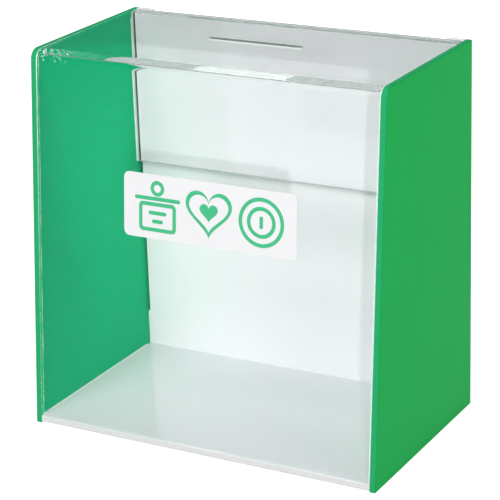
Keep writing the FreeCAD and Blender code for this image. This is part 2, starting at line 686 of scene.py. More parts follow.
def along_z(point: Point, along: float) -> Vector:
    """Places a point of an outline in the XY plane, swept along Z."""
    return Vector((point[0], point[1], along))


def heading(line: Sequence[Vector], index: int) -> Vector:
    """Gives the direction of a line at one of its points."""
    return (line[min(index + 1, len(line) - 1)] - line[max(index - 1, 0)]).normalized()


def into_sheet(forward: Vector) -> Vector:
    """Turns a direction along the cover's outer face into the one that leads into its sheet."""
    return Vector((forward.y, -forward.x))


def away_from_box(azimuth_deg: float, elevation_deg: float) -> Vector:
    """Gives the direction away from the box.

    Args:
        azimuth_deg: Angle from the front, towards the right.
        elevation_deg: Angle above the level.

    Returns:
        The direction, one long.
    """
    azimuth, elevation = math.radians(azimuth_deg), math.radians(elevation_deg)
    return Vector((math.sin(azimuth) * math.cos(elevation), -math.cos(azimuth) * math.cos(elevation),
                   math.sin(elevation)))


def join_loops(shape: Shape, loops: Sequence[Loop], closed: bool) -> None:
    """Fills the strips between loops of points.

    Args:
        shape: Mesh in the making.
        loops: Loops of as many points each.
        closed: Whether the last loop joins the first.
    """
    pairs = list(zip(loops, loops[1:])) + ([(loops[-1], loops[0])] if closed else [])
    for first, second in pairs:
        for index in range(len(first)):
            after = (index + 1) % len(first)
            shape.faces.new((first[index], first[after], second[after], second[index]))


def add_prism(shape: Shape, outline: Sequence[Point], place: Placer, low: float, high: float) -> None:
    """Adds a solid swept from a closed outline.

    Args:
        shape: Mesh in the making.
        outline: Points in order.
        place: Turns a point and a distance along the sweep into a place.
        low: Start of the sweep.
        high: End of the sweep.
    """
    ends = [[shape.verts.new(place(point, along)) for point in outline] for along in (low, high)]
    for end in ends:
        shape.faces.new(end)
    join_loops(shape, ends, closed=False)


def add_ring(shape: Shape, outer: Sequence[Point], inner: Sequence[Point], place: Placer,
             low: float, high: float) -> None:
    """Adds a flat band between two closed outlines of as many points.

    Args:
        shape: Mesh in the making.
        outer: Outer outline.
        inner: Inner outline.
        place: Turns a point and a distance along the sweep into a place.
        low: Start of the sweep.
        high: End of the sweep.
    """
    loops = [[shape.verts.new(place(point, along)) for point in outline]
             for outline, along in ((outer, low), (outer, high), (inner, high), (inner, low))]
    join_loops(shape, loops, closed=True)


def mesh_of(name: str, shape: Shape) -> bpy.types.Mesh:
    """Turns a mesh in the making into a mesh whose faces point out.

    Args:
        name: The mesh's name.
        shape: Mesh in the making, which is used up.

    Returns:
        The mesh.
    """
    bmesh.ops.recalc_face_normals(shape, faces=shape.faces)
    mesh = bpy.data.meshes.new(name)
    shape.to_mesh(mesh)
    shape.free()
    return mesh


def swept_mesh(name: str, outline: Sequence[Point], place: Placer, low: float,
               high: float) -> bpy.types.Mesh:
    """Sweeps a closed outline into a mesh of its own.

    Args:
        name: The mesh's name.
        outline: Points in order.
        place: Turns a point and a distance along the sweep into a place.
        low: Start of the sweep.
        high: End of the sweep.

    Returns:
        The mesh.
    """
    shape = bmesh.new()
    add_prism(shape, outline, place, low, high)
    return mesh_of(name, shape)


def new_object(name: str, data: bpy.types.ID) -> bpy.types.Object:
    """Puts an object in the scene.

    Args:
        name: The object's name.
        data: Its mesh, camera or lamp.

    Returns:
        The object.
    """
    thing = bpy.data.objects.new(name, data)
    bpy.context.scene.collection.objects.link(thing)
    return thing


def aim(thing: bpy.types.Object, place: Vector, forward: Vector, roll_deg: float = 0.0) -> None:
    """Puts a camera or a lamp in its place and points it.

    Args:
        thing: The camera or lamp.
        place: Where it stands.
        forward: Direction that it looks in.
        roll_deg: Turn about that direction.
    """
    roll = Quaternion((0.0, 0.0, 1.0), math.radians(roll_deg))
    thing.location = place
    thing.rotation_mode = "QUATERNION"
    thing.rotation_quaternion = forward.to_track_quat("-Z", "Y") @ roll


def smooth_piece(name: str, shape: Shape) -> Piece:
    """Makes a smoothly shaded piece.

    Args:
        name: The piece's name.
        shape: Mesh in the making, which is used up.

    Returns:
        The piece.
    """
    piece = new_object(name, mesh_of(name, shape))
    piece.data.shade_smooth()
    return piece


def block(name: str, node: str, inset_x: float = 0.0, top_gap: float = 0.0) -> Piece:
    """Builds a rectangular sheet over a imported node's box.

    Args:
        name: The piece's name.
        node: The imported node.
        inset_x: How far each end stands in along X.
        top_gap: How far the top stands below the node's.

    Returns:
        The piece, with sharp edges.
    """
    low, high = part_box(node)
    left, right, top = low.x + inset_x, high.x - inset_x, high.z - top_gap
    outline = [(left, low.z), (right, low.z), (right, top), (left, top)]
    return new_object(name, swept_mesh(node, outline, along_y, low.y, high.y))


def eased(piece: Piece, ease: float, steps: int = 3, sharp_deg: float = SHARP_DEG,
          where: Callable[[Vector], bool] = lambda middle: True) -> Piece:
    """Rounds the sharp edges of a piece and keeps its flat faces flat in the shading.

    Args:
        piece: Object with a closed mesh.
        ease: Width of the rounding.
        steps: Strips in the rounding.
        sharp_deg: Edges that turn by more than this are rounded.
        where: Says by an edge's middle whether it is rounded at all.

    Returns:
        The same object.
    """
    shape = bmesh.new()
    shape.from_mesh(piece.data)
    sharp = [edge for edge in shape.edges
             if len(edge.link_faces) == 2 and math.degrees(edge.calc_face_angle(0.0)) > sharp_deg
             and where((edge.verts[0].co + edge.verts[1].co) / 2)]
    bmesh.ops.bevel(shape, geom=sharp, offset=ease, segments=steps, profile=0.5, affect="EDGES",
                    clamp_overlap=True)
    shape.edges.index_update()
    kept = {edge.index for edge in shape.edges
            if math.degrees(edge.calc_face_angle(0.0)) > KEPT_SHARP_DEG}
    shape.to_mesh(piece.data)
    shape.free()
    piece.data.shade_smooth()
    for edge in piece.data.edges:
        edge.use_edge_sharp = edge.index in kept
    normals = piece.modifiers.new("flat_faces", "WEIGHTED_NORMAL")
    normals.mode = "FACE_AREA"
    normals.weight = FLAT_FACE_WEIGHT
    normals.keep_sharp = True
    return piece


def cut(piece: Piece, cutter: Piece) -> None:
    """Cuts one object out of another and deletes the cutter.

    Args:
        piece: Object that is cut.
        cutter: Object that is cut out of it.
    """
    modifier = piece.modifiers.new("cut", "BOOLEAN")
    modifier.operation = "DIFFERENCE"
    modifier.solver = "EXACT"
    modifier.object = cutter
    bpy.context.view_layer.update()
    whole = piece.evaluated_get(bpy.context.evaluated_depsgraph_get())
    mesh = bpy.data.meshes.new_from_object(whole)
    piece.modifiers.remove(modifier)
    piece.data = mesh
    bpy.data.objects.remove(cutter)


def fit(piece: Piece, body: Body, slot: Slot, finish: Material, *nodes: str) -> None:
    """Gives a piece its finish and its body.

    Args:
        piece: The dressed piece.
        body: Body that it moves with.
        slot: Slot of the record that its finish belongs to.
        finish: The node material.
        nodes: CAD nodes that it stands for.
    """
    piece.data.materials.clear()
    piece.data.materials.append(finish)
    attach(piece, body.value)
    if nodes:
        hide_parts(*nodes)
    log.info("%s rides on %s, in %s", piece.name, body.value, slot.value)


def dress_cut_edges(piece: Piece, finishes: dict[EdgeLook, Material],
                    look_of: Callable[[bpy.types.MeshPolygon], EdgeLook | None]) -> None:
    """Gives the cut edges of a clear sheet finishes of their own.

    Args:
        piece: The sheet, with its main finish.
        finishes: Finish of each look.
        look_of: Says which look a face has, with None for the main finish.
    """
    looks = [look_of(face) for face in piece.data.polygons]
    used = [look for look in EdgeLook if look in looks]
    for look in used:
        piece.data.materials.append(finishes[look])
    for face, look in zip(piece.data.polygons, looks):
        if look:
            face.material_index = 1 + used.index(look)


@dataclass(frozen=True)
class Layout:
    """Sizes that the sub-assemblies share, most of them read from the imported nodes."""

    outside_x: float
    inside_x: float
    front_y: float
    back_y: float
    height: float
    base_low: float
    base_top: float
    cover_underside: float
    panel_front_y: float
    panel_back_y: float
    lean_run: float = 23.0 * MM
    bend_outer_radius: float = 7.0 * MM
    cover_sheet: float = 4.0 * MM

    @classmethod
    def from_frame(cls) -> Layout:
        """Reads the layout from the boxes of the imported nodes.

        Returns:
            The layout.
        """
        side_low, side_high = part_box("right_side_panel")
        base_low, base_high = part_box("base_panel")
        panel_low, panel_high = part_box("inner_rear_panel")
        return cls(outside_x=side_high.x, inside_x=side_low.x, front_y=side_low.y, back_y=side_high.y,
                   height=side_high.z, base_low=base_low.z, base_top=base_high.z,
                   cover_underside=panel_high.z, panel_front_y=panel_low.y, panel_back_y=panel_high.y)

    @property
    def lean(self) -> float:
        """Angle of the front from upright."""
        return math.atan2(self.lean_run, self.height)

    def front_y_at(self, height: float) -> float:
        """Y of the front's outer face at a height."""
        return self.front_y + height * self.lean_run / self.height

    def on_front(self, point: Point, proud: float) -> Vector:
        """Places a point of the sloping front.

        Args:
            point: Distance across the front, and up its slope.
            proud: How far the place stands out from the front.

        Returns:
            The place.
        """
        across, rise = point
        sine, cosine = math.sin(self.lean), math.cos(self.lean)
        return Vector((across, self.front_y + rise * sine - proud * cosine, rise * cosine + proud * sine))

    def cover_line(self, step: float, bend_steps: int = 24) -> list[Vector]:
        """Follows the cover's outer face from its foot, round the bend, to the back of the top.

        Args:
            step: Distance between points.
            bend_steps: Straight pieces that the bend is measured in.

        Returns:
            Points in the YZ plane, as vectors of two.
        """
        corners = [(self.front_y_at(self.base_top), self.base_top),
                   (self.front_y_at(self.height), self.height),
                   (self.panel_back_y, self.height)]
        radii = (0, self.bend_outer_radius, 0)
        rough = [Vector(point) for point in arc_outline(corners, radii, bend_steps)]
        points = [rough[0]]
        left_over = 0.0
        for start, end in zip(rough, rough[1:]):
            run = (end - start).length
            distance = step - left_over
            while distance <= run:
                points.append(start.lerp(end, distance / run))
                distance += step
            left_over = run - (distance - step)
        return points


@dataclass
class SidePanels:
    """The two green panels that the box stands on."""

    layout: Layout
    finish: Material
    ease: float = 0.4 * MM
    arc_steps: int = 12

    def build(self) -> list[Piece]:
        """Builds both panels.

        Returns:
            The left and right panel.
        """
        lay = self.layout
        corners = [(lay.front_y, 0.0), (lay.back_y, 0.0), (lay.back_y, lay.height),
                   (lay.front_y_at(lay.height), lay.height)]
        outline = arc_outline(corners, (0, 0, 0, lay.bend_outer_radius), self.arc_steps)
        panels = []
        for name, low, high in (("left_side_panel", -lay.outside_x, -lay.inside_x),
                                ("right_side_panel", lay.inside_x, lay.outside_x)):
            panel = new_object(f"{name}_sheet", swept_mesh(name, outline, along_x, low, high))
            eased(panel, self.ease)
            fit(panel, Body.SHELL, Slot.GREEN, self.finish, name)
            panels.append(panel)
        return panels


@dataclass
class ClearCover:
    """Clear sheet bent into the front wall and the top, with the money slot."""

    layout: Layout
    finish: Material
    edge_finishes: dict[EdgeLook, Material]
    bend_inner_radius: float = 1.2 * MM
    bend_steps: int = 40
    slot_length: float = 68.0 * MM
    slot_width: float = 5.0 * MM
    slot_set_back: float = 68.5 * MM
    slot_steps: int = 10
    slot_ease: float = 0.25 * MM
    slot_sharp_deg: float = 40.0
    weld_overlap: float = 0.05 * MM
    slack: float = 0.02 * MM
    wall_tilt: float = 0.2
    painted_shade_tilt: float = -0.5

    @property
    def slot_y(self) -> float:
        """Y of the slot's middle."""
        return self.layout.front_y_at(self.layout.height) + self.slot_set_back

    def build(self) -> Piece:
        """Builds the sheet.

        Returns:
            The cover.
        """
        lay = self.layout
        wall = lay.cover_sheet / math.cos(lay.lean)
        foot, under, top = lay.base_top - self.weld_overlap, lay.cover_underside, lay.height
        corners = [
            (lay.front_y_at(foot), foot),
            (lay.front_y_at(top), top),
            (lay.panel_back_y, top),
            (lay.panel_back_y, under),
            (lay.front_y_at(under) + wall, under),
            (lay.front_y_at(foot) + wall, foot),
        ]
        radii = (0, lay.bend_outer_radius, 0, 0, self.bend_inner_radius, 0)
        outline = arc_outline(corners, radii, self.bend_steps)
        half = lay.inside_x + self.weld_overlap
        cover = new_object("clear_cover_sheet", swept_mesh("clear_cover", outline, along_x, -half, half))
        cut(cover, self.slot_cutter())
        eased(cover, self.slot_ease, sharp_deg=self.slot_sharp_deg, where=self.at_slot)
        fit(cover, Body.SHELL, Slot.CLEAR, self.finish, "clear_cover")
        dress_cut_edges(cover, self.edge_finishes, self.edge_look)
        return cover

    def slot_cutter(self) -> Piece:
        """Builds the round-ended block that the slot is cut with.

        Returns:
            The cutter.
        """
        lay = self.layout
        x, y = self.slot_length / 2, self.slot_width / 2
        corners = [(-x, self.slot_y - y), (x, self.slot_y - y), (x, self.slot_y + y), (-x, self.slot_y + y)]
        outline = arc_outline(corners, (y,) * len(corners), self.slot_steps)
        low, high = lay.cover_underside - lay.cover_sheet, lay.height + lay.cover_sheet
        return new_object("slot_cutter", swept_mesh("slot_cutter", outline, along_z, low, high))

    def at_slot(self, place: Vector) -> bool:
        """Says whether a place lies in the slot or on its rim."""
        return (abs(place.x) < self.slot_length / 2 + self.slack
                and abs(place.y - self.slot_y) < self.slot_width / 2 + self.slack)

    def edge_look(self, face: bpy.types.MeshPolygon) -> EdgeLook | None:
        """Finds the look of a face that was cut.

        The slot's back wall gets painted shade, and its other walls get painted light, standing for the
        light they catch through the sheet.

        Args:
            face: Face of the finished sheet.

        Returns:
            Its look, or None where it isn't a cut face.
        """
        lay = self.layout
        if abs(face.normal.z) > self.wall_tilt or not lay.cover_underside < face.center.z < lay.height:
            return None
        if face.center.y > lay.panel_back_y - self.slack:
            return EdgeLook.SAWN
        if not self.at_slot(face.center):
            return None
        return EdgeLook.SHADED if face.normal.y < self.painted_shade_tilt else EdgeLook.PAINTED_LIGHT


@dataclass
class WhiteSheets:
    """The base, the sill across the back and the two guides of the door."""

    layout: Layout
    flat_finish: Material
    upright_finish: Material
    ease: float = 0.25 * MM
    sill_ease: float = 0.06 * MM

    def build(self) -> list[Piece]:
        """Builds the fixed white pieces.

        Returns:
            The pieces.
        """
        lay = self.layout
        low, high = lay.base_low, lay.base_top
        outline = [(lay.front_y_at(low), low), (lay.back_y, low), (lay.back_y, high),
                   (lay.front_y_at(high), high)]
        mesh = swept_mesh("base_panel", outline, along_x, -lay.inside_x, lay.inside_x)
        base = eased(new_object("base_panel_sheet", mesh), self.ease)
        fit(base, Body.SHELL, Slot.WHITE, self.flat_finish, "base_panel")
        pieces = [base]
        for node, ease in (("lower_rear_strip", self.sill_ease), ("rear_guide_left", self.ease),
                           ("rear_guide_right", self.ease)):
            pieces.append(eased(block(f"{node}_sheet", node), ease))
            fit(pieces[-1], Body.SHELL, Slot.WHITE, self.upright_finish, node)
        return pieces


@dataclass
class ClearRearPanel:
    """Clear panel across the upper back, inside the door."""

    finish: Material
    edge_finishes: dict[EdgeLook, Material]
    ease: float = 0.12 * MM
    end_gap: float = 0.3 * MM
    top_gap: float = 0.05 * MM
    square_tilt: float = 0.9

    def build(self) -> Piece:
        """Builds the panel.

        Returns:
            The panel.
        """
        sheet = block("inner_rear_panel_sheet", "inner_rear_panel", self.end_gap, self.top_gap)
        panel = eased(sheet, self.ease)
        fit(panel, Body.SHELL, Slot.CLEAR, self.finish, "inner_rear_panel")
        dress_cut_edges(panel, self.edge_finishes, self.edge_look)
        return panel

    def edge_look(self, face: bpy.types.MeshPolygon) -> EdgeLook | None:
        """Finds the look of the sawn lower edge and of the two ends, which get painted light.

        Args:
            face: Face of the finished panel.

        Returns:
            Its look, or None where it keeps the main finish.
        """
        if face.normal.z < -self.square_tilt:
            return EdgeLook.SAWN
        return EdgeLook.PAINTED_LIGHT if abs(face.normal.x) > self.square_tilt else None


@dataclass
class LiftOutDoor:
    """White door at the back with its pull."""

    finish: Material
    pull_finish: Material
    ease: float = 0.5 * MM
    pull_radius: float = 1.5 * MM
    pull_steps: int = 6
    slack: float = 0.1 * MM

    def build(self) -> list[Piece]:
        """Builds the door and its pull.

        Returns:
            The two pieces.
        """
        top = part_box("back_door")[1].z
        door = eased(block("back_door_sheet", "back_door"), self.ease,
                     where=lambda middle: middle.z > top - self.slack)
        outer_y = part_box("door_pull")[1].y
        pull = eased(block("door_pull_bar", "door_pull"), self.pull_radius, steps=self.pull_steps,
                     where=lambda middle: middle.y > outer_y - self.slack)
        fit(door, Body.DOOR, Slot.WHITE, self.finish, "back_door")
        fit(pull, Body.DOOR, Slot.WHITE, self.pull_finish, "door_pull")
        return [door, pull]


@dataclass
class FrontLabel:
    """White film label on the front, with three printed signs: a collecting box, a heart and a coin."""

    layout: Layout
    film_finish: Material
    ink_finish: Material
    length: float = 123.0 * MM
    height: float = 41.5 * MM
    corner_radius: float = 4.0 * MM
    film: float = 0.25 * MM
    offset: float = 6.5 * MM
    rise: float = 160.0 * MM
    stick_gap: float = 0.02 * MM
    ink: float = 0.03 * MM
    stroke: float = 2.5 * MM
    end_radius: float = 1.2 * MM
    sign_spacing: float = 37.0 * MM
    print_shape: Shape = field(default_factory=bmesh.new)

    def build(self) -> list[Piece]:
        """Builds the film and the print on it.

        Returns:
            The two pieces.
        """
        outline = rounded_box(self.length, self.height, self.corner_radius, (self.offset, self.rise))
        mesh = swept_mesh("front_label", outline, self.layout.on_front, self.stick_gap, self.film)
        film = new_object("front_label_film", mesh)
        fit(film, Body.SHELL, Slot.LABEL, self.film_finish, "front_label")
        for place, sign in enumerate((self.box_sign, self.heart_sign, self.coin_sign), start=-1):
            sign((self.offset + place * self.sign_spacing, self.rise))
        ink = new_object("front_label_print", mesh_of("front_label_print", self.print_shape))
        fit(ink, Body.SHELL, Slot.LABEL, self.ink_finish)
        return [film, ink]

    def ring(self, outer: Sequence[Point], inner: Sequence[Point]) -> None:
        """Prints the band between two outlines."""
        add_ring(self.print_shape, outer, inner, self.layout.on_front, self.film, self.film + self.ink)

    def patch(self, outline: Sequence[Point]) -> None:
        """Prints a filled outline."""
        add_prism(self.print_shape, outline, self.layout.on_front, self.film, self.film + self.ink)

    def bar(self, width: float, centre: Point) -> None:
        """Prints a level bar with round ends."""
        self.patch(rounded_box(width, self.stroke, self.end_radius, centre))

    def hoop(self, radius: float, centre: Point) -> None:
        """Prints a round band one stroke wide."""
        self.ring(circle(radius, centre), circle(radius - self.stroke, centre))

    def box_sign(self, centre: Point) -> None:
        """Prints a collecting box with a coin above its lid.

        Args:
            centre: Middle of the sign.
        """
        x, y = centre
        width, height, drop = 27.0 * MM, 19.0 * MM, 6.6 * MM
        outer_radius, inner_radius = 3.0 * MM, 1.0 * MM
        lid_width, lid_rise = 33.0 * MM, 5.2 * MM
        coin_radius, coin_rise = 5.0 * MM, 11.9 * MM
        lines = ((13.0 * MM, 2.6 * MM), (8.0 * MM, -2.8 * MM))

        middle, walls = (x, y - drop), 2 * self.stroke
        self.ring(rounded_box(width, height, outer_radius, middle),
                  rounded_box(width - walls, height - walls, inner_radius, middle))
        self.bar(lid_width, (x, y + lid_rise))
        for line_width, line_rise in lines:
            self.bar(line_width, (x, middle[1] + line_rise))
        self.hoop(coin_radius, (x, y + coin_rise))

    def heart_sign(self, centre: Point) -> None:
        """Prints a small heart within a drawn one.

        Args:
            centre: Middle of the sign.
        """
        x, y = centre
        width, height, drop = 33.0 * MM, 30.0 * MM, 15.5 * MM
        small_width, small_height, small_drop = 13.0 * MM, 11.5 * MM, 5.0 * MM
        self.ring(heart(width, height, (x, y - drop)),
                  heart(width - 2.0 * self.stroke, height - 2.5 * self.stroke,
                        (x, y - drop + 1.5 * self.stroke)))
        self.patch(heart(small_width, small_height, (x, y - small_drop)))

    def coin_sign(self, centre: Point) -> None:
        """Prints a coin with an inner rim.

        Args:
            centre: Middle of the sign.
        """
        rim_radius, inner_radius, mark_height = 15.8 * MM, 10.0 * MM, 8.0 * MM
        self.hoop(rim_radius, centre)
        self.hoop(inner_radius, centre)
        self.patch(rounded_box(self.stroke, mark_height, self.end_radius, centre))


@dataclass(frozen=True)
class GlueThread:
    """One thread of set glue: how thick it is, and how that changes on its way.

    Steady is the share of the radius that it keeps all along. The foot and bend shares scale it at the
    bottom and at the top of the box, and a foot share under 0 thins its lower end to a hair.
    Beading over 1 gathers the glue in beads.
    """

    word: str
    radius: float
    steady: float
    depth: float = 0.0
    foot_share: float = 1.0
    bend_share: float = 1.0
    beading: float = 1.0


@dataclass
class GlueBubbles:
    """Air shut in the glue of one side's joints, with the sizes of the bubbles drawn in millimetres."""

    layout: Layout
    side: Side
    line: Sequence[Vector]
    top_points: int
    draw: random.Random
    shape: Shape = field(default_factory=bmesh.new)
    inset: float = 0.12 * MM
    flatness: float = 0.3
    subdivisions: int = 2

    front_count: int = 130
    front_sizes: Span = (0.3, 0.9)
    bare_foot_points: int = 4
    top_count: int = 70
    top_sizes: Span = (0.4, 1.1)
    shallow_depths: Span = (0.05, 0.2)
    other_depths: Span = (0.1, 0.95)
    width_share: float = 0.3
    length_shares: Span = (0.35, 1.0)
    least_depth_share: float = 1.1

    base_count: int = 34
    base_sizes: Span = (0.12, 0.4)
    base_middle_y: float = 2.0 * MM
    base_spread_y: float = 22.0 * MM
    base_spread_z: float = 1.2 * MM
    base_gap: float = 0.2 * MM

    bend_count: int = 26
    bend_sizes: Span = (0.25, 0.6)
    bend_depths: Span = (0.15, 0.6)
    bend_gap: float = 3.0 * MM
    bend_reach: float = 19.0 * MM
    bend_gathering: float = 1.3

    @property
    def joint_x(self) -> float:
        """X of the bubbles in the joint of the cover and the side panel."""
        return self.side.value * (self.layout.inside_x - self.inset)

    def build(self) -> Piece:
        """Builds the bubbles of the joints, and on the left those that ran along the bend.

        Returns:
            The bubbles as one piece.
        """
        bend_foot = self.layout.height - self.layout.bend_outer_radius
        front = [index for index, point in enumerate(self.line) if point.y < bend_foot]
        top = range(len(front), len(front) + self.top_points)
        self.fill_cover(front[self.bare_foot_points:], top)
        self.fill_base()
        if self.side is Side.LEFT:
            self.fill_bend(top)
        return smooth_piece(f"glue_bubbles_{self.side.word}", self.shape)

    def fill_cover(self, front: Sequence[int], top: Sequence[int]) -> None:
        """Adds the long bubbles in the joint of the cover and the side panel.

        Args:
            front: Points of the line on the front.
            top: Points of the line on the bend and the top.
        """
        draw = self.draw
        places = [(draw.choice(front), draw.uniform(*self.front_sizes)) for _ in range(self.front_count)]
        places += [(draw.choice(top), draw.uniform(*self.top_sizes)) for _ in range(self.top_count)]
        for index, size in places:
            forward = heading(self.line, index)
            share = draw.choice((draw.uniform(*self.shallow_depths), draw.uniform(*self.other_depths)))
            half_width = self.width_share * size * MM
            depth = max(self.layout.cover_sheet * share, self.least_depth_share * half_width)
            middle = self.line[index] + into_sheet(forward) * depth
            half_length = draw.uniform(*self.length_shares) * size * MM
            self.add(along_x(middle, self.joint_x), forward, half_length, half_width)

    def fill_base(self) -> None:
        """Adds the round bubbles in the corner of the base and the side panel."""
        lay, draw = self.layout, self.draw
        for _ in range(self.base_count):
            y = draw.gauss(self.base_middle_y, self.base_spread_y)
            rise = abs(draw.gauss(0.0, self.base_spread_z)) + self.base_gap
            size = draw.uniform(*self.base_sizes) * MM
            x = self.side.value * (lay.inside_x - self.flatness * size)
            self.add(Vector((x, y, lay.base_top + rise)), Vector((1.0, 0.0)), size, size)

    def fill_bend(self, top: Sequence[int]) -> None:
        """Adds the round bubbles that ran from the left joint along the bend.

        Args:
            top: Points of the line on the bend and the top.
        """
        lay, line, draw = self.layout, self.line, self.draw
        bend_end = lay.front_y_at(lay.height) + lay.bend_outer_radius
        bend = [index for index in top if line[index - 1].x < bend_end]
        for _ in range(self.bend_count):
            index = draw.choice(bend)
            forward = heading(line, index)
            depth = into_sheet(forward) * lay.cover_sheet * draw.uniform(*self.bend_depths)
            reach = self.bend_gap + self.bend_reach * draw.random() ** self.bend_gathering
            size = draw.uniform(*self.bend_sizes) * MM
            self.add(along_x(line[index] + depth, self.joint_x + reach), forward, size, size)

    def add(self, middle: Vector, forward: Vector, length: float, width: float) -> None:
        """Adds one flattened bubble.

        Args:
            middle: Its middle.
            forward: Direction of its length, in the YZ plane.
            length: Half its length.
            width: Half its width.
        """
        axes = Matrix(((self.flatness * width, 0.0, 0.0),
                       (0.0, forward.x * length, -forward.y * width),
                       (0.0, forward.y * length, forward.x * width))).to_4x4()
        bmesh.ops.create_icosphere(self.shape, subdivisions=self.subdivisions, radius=1.0,
                                   matrix=Matrix.Translation(middle) @ axes)


@dataclass
class GlueLines:
    """Set glue at the joints of the clear cover and the base: uneven threads, and bubbles in the joints."""

    layout: Layout
    finish: Material
    left_threads: tuple[GlueThread, ...] = (
        GlueThread("outer", 0.62 * MM, steady=0.1, depth=0.8 * MM, foot_share=-0.6),
        GlueThread("inner", 1.0 * MM, steady=0.0, depth=4.5 * MM, bend_share=0.45, beading=2.4),
    )
    right_threads: tuple[GlueThread, ...] = (
        GlueThread("outer", 0.66 * MM, steady=0.1, depth=0.8 * MM),
        GlueThread("inner", 0.55 * MM, steady=0.0, depth=3.4 * MM),
    )
    right_inset: float = 0.6 * MM
    rear_thread: GlueThread = GlueThread("rear", 0.8 * MM, steady=0.8)
    base_thread: GlueThread = GlueThread("base", 0.85 * MM, steady=0.7)
    cover_seed: int = 11
    rear_seed: int = 21
    base_seed: int = 31
    bubble_seed: int = 51

    step: float = 1.2 * MM
    facets: int = 8
    coarse_waves: float = 70.0
    coarse_play: Span = (0.12, 0.88)
    fine_waves: float = 320.0
    fine_play: Span = (0.45, 0.75)
    fine_row: float = 4.0
    thinnest_share: float = 0.02
    fade_length: float = 60.0 * MM
    faded_share: float = 0.05

    def build(self) -> list[Piece]:
        """Builds the threads and the bubbles of both sides.

        Returns:
            The pieces.
        """
        lay = self.layout
        line = lay.cover_line(self.step)
        top_points = round(self.fade_length / self.step)
        joints = ((Side.LEFT, self.left_threads, 0.0), (Side.RIGHT, self.right_threads, self.right_inset))
        pieces = []
        for number, (side, threads, inset) in enumerate(joints):
            x = side.value * lay.inside_x - inset
            runs = [(look, self.cover_path(line, look.depth, x), self.cover_seed) for look in threads]
            runs.append((self.rear_thread, self.rear_path(side), self.rear_seed))
            runs.append((self.base_thread, self.base_path(side), self.base_seed))
            for look, path, seed in runs:
                pieces.append(self.thread(f"glue_line_{look.word}_{side.word}", path, look, seed + number))
            draw = random.Random(self.bubble_seed + number)
            pieces.append(GlueBubbles(lay, side, line, top_points, draw).build())
        for piece in pieces:
            fit(piece, Body.SHELL, Slot.CLEAR, self.finish)
        return pieces

    def cover_path(self, line: Sequence[Vector], depth: float, x: float) -> list[Vector]:
        """Follows the joint between the cover and a side panel.

        Args:
            line: The cover's outer face in the YZ plane.
            depth: How far the path lies inside that face.
            x: X of the joint.

        Returns:
            Points of the path.
        """
        return [along_x(point + into_sheet(heading(line, index)) * depth, x)
                for index, point in enumerate(line)]

    def base_path(self, side: Side) -> list[Vector]:
        """Follows the corner between the base and a side panel, inside the box.

        Args:
            side: Side of the panel.

        Returns:
            Points of the path.
        """
        lay = self.layout
        start, end = lay.front_y_at(lay.base_top) + lay.cover_sheet, lay.panel_front_y
        count = round((end - start) / self.step)
        return [Vector((side.value * lay.inside_x, start + (end - start) * index / count, lay.base_top))
                for index in range(count + 1)]

    def rear_path(self, side: Side) -> list[Vector]:
        """Follows the corner between the clear rear panel and a side panel, inside the box.

        Args:
            side: Side of the panel.

        Returns:
            Points of the path.
        """
        low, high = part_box("inner_rear_panel")
        count = round((high.z - low.z) / self.step)
        return [Vector((side.value * self.layout.inside_x, low.y, low.z + (high.z - low.z) * index / count))
                for index in range(count + 1)]

    def radius_at(self, index: int, point: Vector, look: GlueThread, seed: int) -> float:
        """Works out how thick a thread is at one point of its path.

        Args:
            index: The point's place in the path.
            point: The point.
            look: How the thread is to look.
            seed: Number that the unevenness comes from.

        Returns:
            The radius.
        """
        lay = self.layout
        coarse = 0.5 + 0.5 * noise.noise(Vector((index * self.step * self.coarse_waves, seed, 0.0)))
        fine = 0.5 + 0.5 * noise.noise(Vector((index * self.step * self.fine_waves, seed, self.fine_row)))
        uneven = ((self.coarse_play[0] + self.coarse_play[1] * coarse)
                  * (self.fine_play[0] + self.fine_play[1] * fine))
        radius = look.radius * (look.steady + (1.0 - look.steady) * uneven ** look.beading)
        share = look.foot_share + (look.bend_share - look.foot_share) * point.z / lay.height
        radius *= max(self.thinnest_share, share)
        if point.z > lay.cover_underside - lay.cover_sheet:
            gone = (point.y - lay.front_y_at(lay.height)) / self.fade_length
            radius *= min(1.0, max(self.faded_share, 1.0 - gone))
        return radius

    def thread(self, name: str, path: Sequence[Vector], look: GlueThread, seed: int) -> Piece:
        """Builds one uneven thread of glue along a path.

        Args:
            name: The piece's name.
            path: Points of the path.
            look: How the thread is to look.
            seed: Number that the unevenness comes from.

        Returns:
            The thread.
        """
        shape = bmesh.new()
        across = Vector((1.0, 0.0, 0.0))
        turns = [2 * math.pi * facet / self.facets for facet in range(self.facets)]
        loops = []
        for index, point in enumerate(path):
            out = heading(path, index).cross(across)
            radius = self.radius_at(index, point, look, seed)
            ring = [point + (across * math.cos(turn) + out * math.sin(turn)) * radius for turn in turns]
            loops.append([shape.verts.new((x, y, min(z, self.layout.height))) for x, y, z in ring])
        join_loops(shape, loops, closed=False)
        for end in (loops[0], loops[-1]):
            shape.faces.new(end)
        return smooth_piece(name, shape)


@dataclass
class PhotoCamera:
    """Camera at the photograph's viewing angle."""

    place: Triple = (0.6154, -1.0864, 0.567)
    azimuth_deg: float = 29.559
    elevation_deg: float = 19.923
    roll_deg: float = -1.997
    lens_mm: float = 146.85
    sensor_mm: float = 36.0
    clip: Span = (0.05, 60.0)

    def build(self) -> bpy.types.Object:
        """Makes the camera the scene's own.

        Returns:
            The camera.
        """
        data = bpy.data.cameras.new("photo_camera")
        data.lens = self.lens_mm
        data.sensor_width = self.sensor_mm
        data.clip_start, data.clip_end = self.clip
        camera = new_object("photo_camera", data)
        aim(camera, Vector(self.place), -away_from_box(self.azimuth_deg, self.elevation_deg), self.roll_deg)
        bpy.context.scene.camera = camera
        return camera


